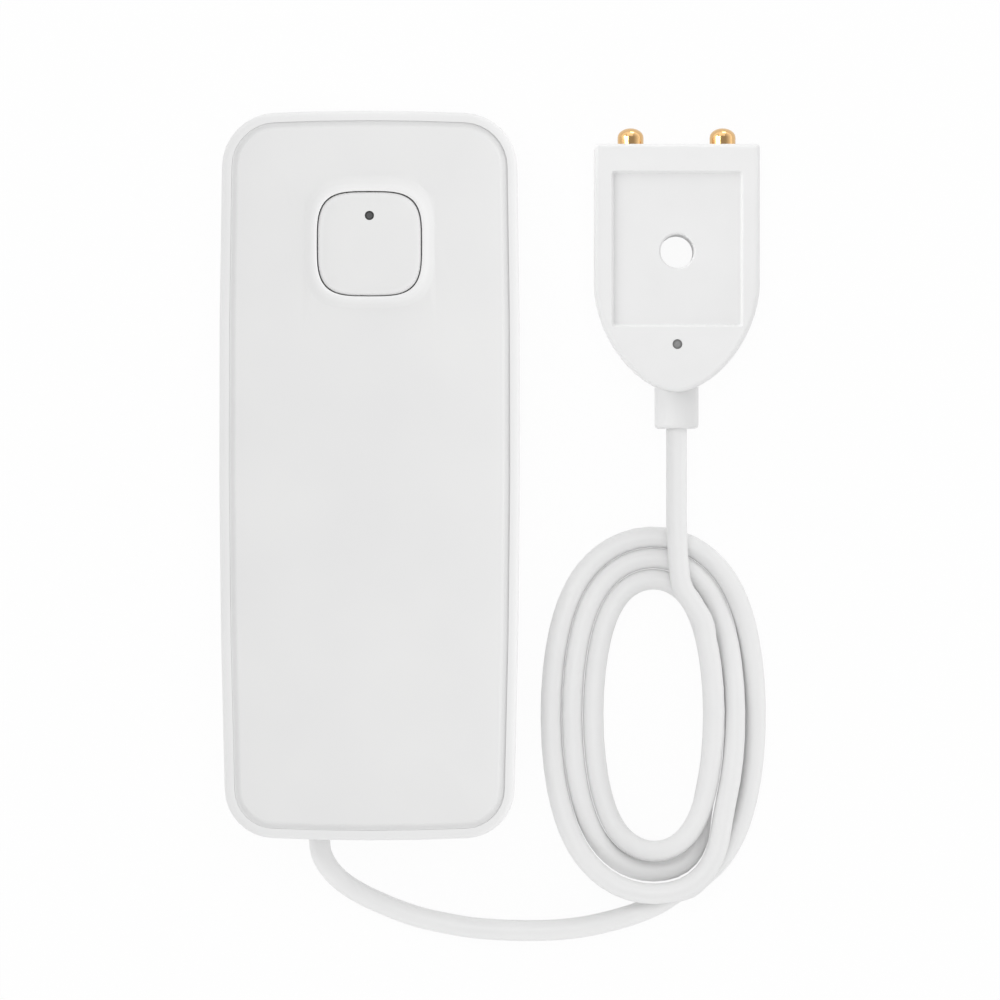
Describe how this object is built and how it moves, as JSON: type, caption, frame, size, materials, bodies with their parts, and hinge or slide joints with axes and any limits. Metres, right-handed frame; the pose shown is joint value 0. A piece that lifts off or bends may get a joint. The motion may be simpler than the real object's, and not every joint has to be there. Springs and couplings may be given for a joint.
{
  "type": "water leak sensor",
  "caption": "Water leak sensor: slim rounded battery unit with a square press button and lamp, and a shield-shaped pin probe with a screw hole on a thin coiled cord.",
  "frame": {"origin": "centre of the main unit's back, on the outer face of its adhesive pad", "axes": "+X across the unit towards the probe, +Y along the unit towards its button end, +Z out of the unit's front"},
  "size_m": [0.0664, 0.1012, 0.02],
  "materials": {
    "white_plastic": "fine satin moulding",
    "soft_seal": "matt silicone",
    "smoked_plastic": "smooth, smoked",
    "circuit_board": "solder mask",
    "black_plastic": "moulded",
    "lamp_resin": "clear resin",
    "connector_plastic": "moulded",
    "wire_jacket": "satin",
    "cell_jacket": "plain satin jacket",
    "plated_steel": "bright plating",
    "pale_rubber": "matt",
    "foam_pad": "film over foam",
    "gold_plate": "polished plating",
    "cord_jacket": "satin"
  },
  "bodies": {
    "base": {"back_housing": "white_plastic", "main_board": "circuit_board", "tact_switch": "black_plastic", "status_led": "lamp_resin", "radio_module": "plated_steel", "board_components": "black_plastic", "probe_header": "connector_plastic", "probe_plug": "connector_plastic", "lead_wires": "wire_jacket", "cell_left": "cell_jacket", "cell_right": "cell_jacket", "contact_positive": "plated_steel", "contact_negative": "plated_steel", "contact_bridge": "plated_steel", "cable_grommet": "pale_rubber", "board_screws": "plated_steel", "adhesive_pad": "foam_pad", "probe_front": "white_plastic", "probe_back": "white_plastic", "probe_pin_left": "gold_plate", "probe_pin_right": "gold_plate", "probe_lens": "smoked_plastic", "probe_board": "circuit_board", "probe_led": "lamp_resin", "probe_wires": "wire_jacket", "probe_collar": "pale_rubber", "cord_lead": "cord_jacket", "cord_coil": "cord_jacket", "cord_tail": "cord_jacket"},
    "cover": {"front_cover": "white_plastic", "perimeter_seal": "soft_seal"},
    "press": {"button": "white_plastic", "light_pipe": "smoked_plastic"},
    "plunger": {"switch_plunger": "black_plastic"}
  },
  "joints": [
    {"name": "cover_lift", "type": "slide", "parent": "base", "child": "cover", "axis": [0, 0, 1], "range_m": [0, 0.03]},
    {"name": "button_press", "type": "slide", "parent": "cover", "child": "press", "axis": [0, 0, -1], "range_m": [0, 0.0004], "stiffness_N_per_m": 1000, "springref_m": -0.001},
    {"name": "plunger_press", "type": "slide", "parent": "base", "child": "plunger", "axis": [0, 0, -1], "range_m": [0, 0.0004]}
  ],
  "couplings": [
    {"joint": "plunger_press", "follows": "button_press", "ratio": 1}
  ]
}
